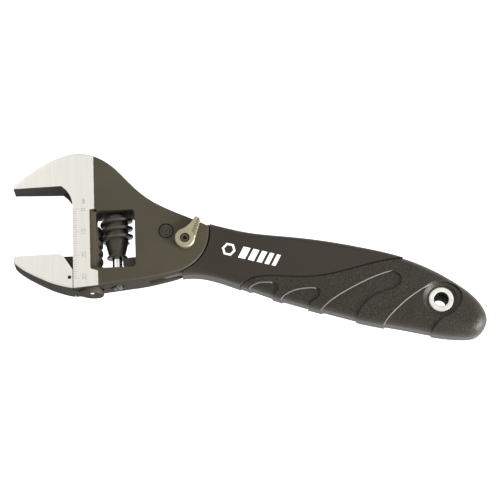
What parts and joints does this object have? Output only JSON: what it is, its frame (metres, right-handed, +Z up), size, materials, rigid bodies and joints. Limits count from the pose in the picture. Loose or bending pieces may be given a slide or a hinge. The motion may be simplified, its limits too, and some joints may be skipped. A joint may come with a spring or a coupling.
{
  "type": "adjustable wrench",
  "caption": "Ratcheting adjustable wrench with a sprung swinging handle, worm-driven sliding jaw, millimetre scale on the head and a soft-gripped handle with a hang hole",
  "frame": {"origin": "bottom centre of the whole tool's box, lying flat with the selector side up", "axes": "X along the tool from the jaws towards the handle end, Y along the jaw slide in the closing direction, Z up out of the scale face"},
  "size_m": [0.1942, 0.0848, 0.0173],
  "materials": {
    "black_paint": "semi-matte warm black paint",
    "black_steel": "blackened phosphated steel",
    "bright_steel": "bright turned steel",
    "ground_steel": "ground, fine lengthwise streaks",
    "hard_plastic": "smooth matte black",
    "lever_zinc": "satin nickel-grey die casting",
    "soft_grip": "fine-grained soft grip",
    "spring_steel": "spring wire"
  },
  "bodies": {
    "head": {"head_forging": "black_paint", "worm_pin": "bright_steel", "pivot_pin": "black_steel", "detent_ball": "bright_steel", "detent_spring": "spring_steel"},
    "handle": {"handle_core": "bright_steel", "handle_cover": "hard_plastic", "grip_overmold": "soft_grip", "hang_hole_bushing": "hard_plastic", "return_spring": "spring_steel"},
    "worm_carriage": {"worm_sleeve": "bright_steel", "thrust_washer": "bright_steel", "worm_spring": "spring_steel"},
    "jaw": {"movable_jaw": "ground_steel", "jaw_stop_pin": "bright_steel"},
    "worm": {"adjusting_worm": "black_steel"},
    "selector": {"selector_lever": "lever_zinc", "selector_shaft": "bright_steel", "selector_screw": "black_steel", "selector_retaining_ring": "spring_steel"}
  },
  "joints": [
    {"name": "handle_swing", "type": "hinge", "parent": "head", "child": "handle", "pos_m": [-0.03363, 0.00702, 0.0083], "axis": [0, 0, 1], "range_deg": [0, 10], "stiffness_Nm_per_rad": 0.5, "springref_deg": -5.73},
    {"name": "release_slide", "type": "slide", "parent": "head", "child": "worm_carriage", "axis": [0, -1, 0], "range_m": [0, 0.00288]},
    {"name": "jaw_slide", "type": "slide", "parent": "worm_carriage", "child": "jaw", "axis": [0, 1, 0], "range_m": [0, 0.0293]},
    {"name": "worm_spin", "type": "hinge", "parent": "worm_carriage", "child": "worm", "pos_m": [-0.05443, 0.01001, 0.0083], "axis": [0, -1, 0], "range_deg": [0, 3020]},
    {"name": "selector_turn", "type": "hinge", "parent": "head", "child": "selector", "pos_m": [-0.02593, 0.00315, 0.0162], "axis": [0, 0, 1], "range_deg": [-75, 0]}
  ],
  "couplings": [
    {"joint": "release_slide", "follows": "handle_swing", "m_per_rad": 0.0163},
    {"joint": "worm_spin", "follows": "jaw_slide", "rad_per_m": 1795.2}
  ]
}
